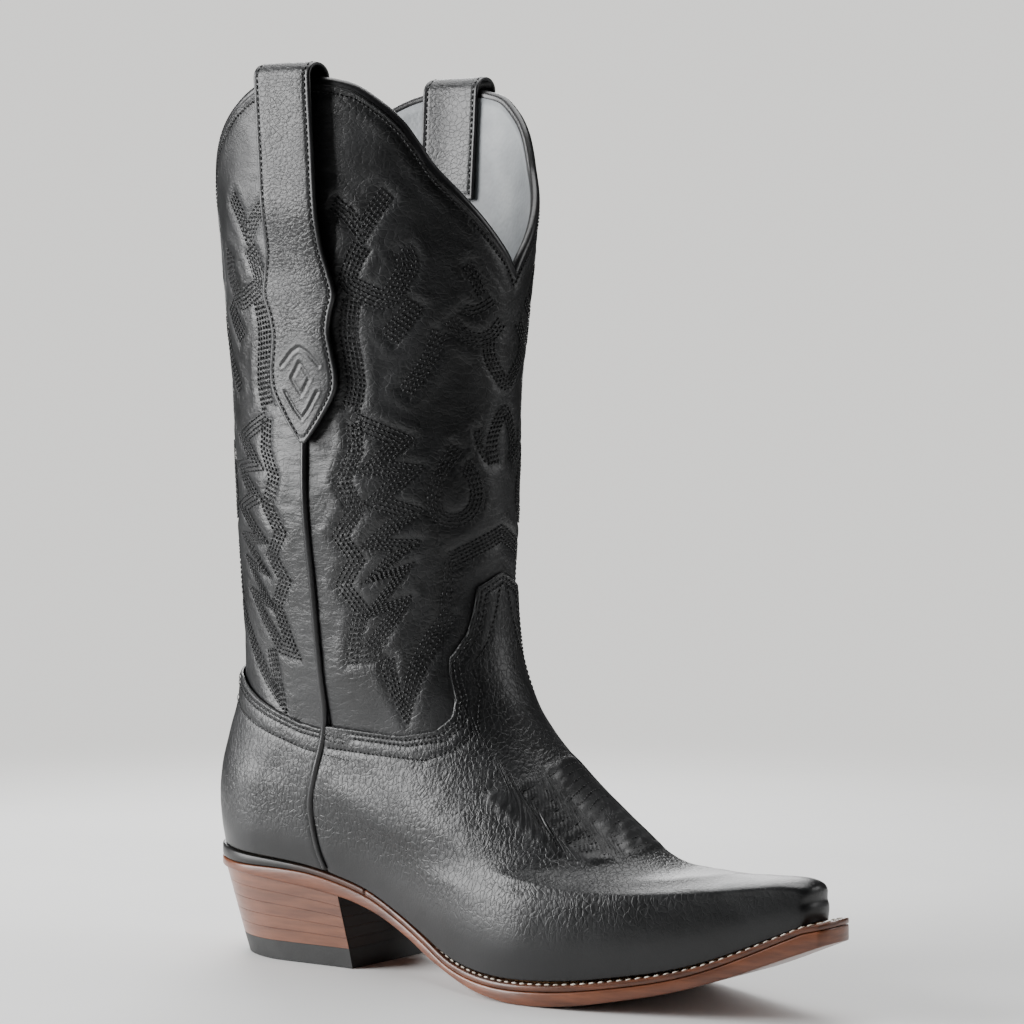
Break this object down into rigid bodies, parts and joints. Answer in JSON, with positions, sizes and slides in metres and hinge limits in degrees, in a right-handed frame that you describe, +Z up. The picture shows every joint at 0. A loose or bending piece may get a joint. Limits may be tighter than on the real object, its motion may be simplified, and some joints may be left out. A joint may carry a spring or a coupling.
{
  "type": "cowboy boot",
  "caption": "Tall pull-on leather cowboy boot with scalloped top, pull straps, snipped toe, welted leather sole and stacked underslung heel.",
  "frame": {"origin": "on the floor under the middle of the boot's bounding box", "axes": "+X towards the toe, +Y towards the inner (big toe) side, +Z up along the shaft"},
  "size_m": [0.3228, 0.1298, 0.3902],
  "materials": {
    "shaft_leather": "black pebbled full-grain leather, tooled with rows of black thread",
    "vamp_leather": "black pebbled full-grain leather, waxed to a soft shine",
    "strap_leather": "black pebbled leather with edge stitching and an embossed tip",
    "piping_leather": "smooth black leather rolled over a cord",
    "lining_leather": "smooth silver-grey lining leather",
    "stiffener_board": "pressed leather board",
    "insole_leather": "natural vegetable-tanned insole leather",
    "cork": "ground cork filler",
    "shank_steel": "spring steel",
    "welt_leather": "brown welt leather with white lock stitches",
    "rand_leather": "black stained rand leather",
    "sole_leather": "brown stained and burnished sole leather",
    "heel_leather": "stacked brown stained heel leather",
    "cap_rubber": "black moulded rubber",
    "nail_brass": "bright brass",
    "peg_wood": "pale hardwood pegs"
  },
  "bodies": {
    "root": {"shaft_front": "shaft_leather", "shaft_back": "shaft_leather", "vamp": "vamp_leather", "counter_cover": "vamp_leather", "pull_strap_outer": "strap_leather", "pull_strap_inner": "strap_leather", "side_piping_outer": "piping_leather", "side_piping_inner": "piping_leather", "top_binding": "piping_leather", "shaft_lining_front": "lining_leather", "shaft_lining_back": "lining_leather", "vamp_lining": "lining_leather", "counter_lining": "lining_leather", "heel_pad": "lining_leather", "heel_counter": "stiffener_board", "toe_box": "stiffener_board", "insole": "insole_leather", "cork_filler": "cork", "shank": "shank_steel", "welt": "welt_leather", "heel_rand": "rand_leather", "outsole": "sole_leather", "heel_cap": "cap_rubber", "heel_lift_1": "heel_leather", "heel_lift_2": "heel_leather", "heel_lift_3": "heel_leather", "heel_lift_4": "heel_leather", "heel_lift_5": "heel_leather", "heel_nail_1": "nail_brass", "heel_nail_2": "nail_brass", "heel_nail_3": "nail_brass", "heel_nail_4": "nail_brass", "waist_peg_outer_1": "peg_wood", "waist_peg_outer_2": "peg_wood", "waist_peg_outer_3": "peg_wood", "waist_peg_inner_1": "peg_wood", "waist_peg_inner_2": "peg_wood", "waist_peg_inner_3": "peg_wood"}
  },
  "joints": []
}
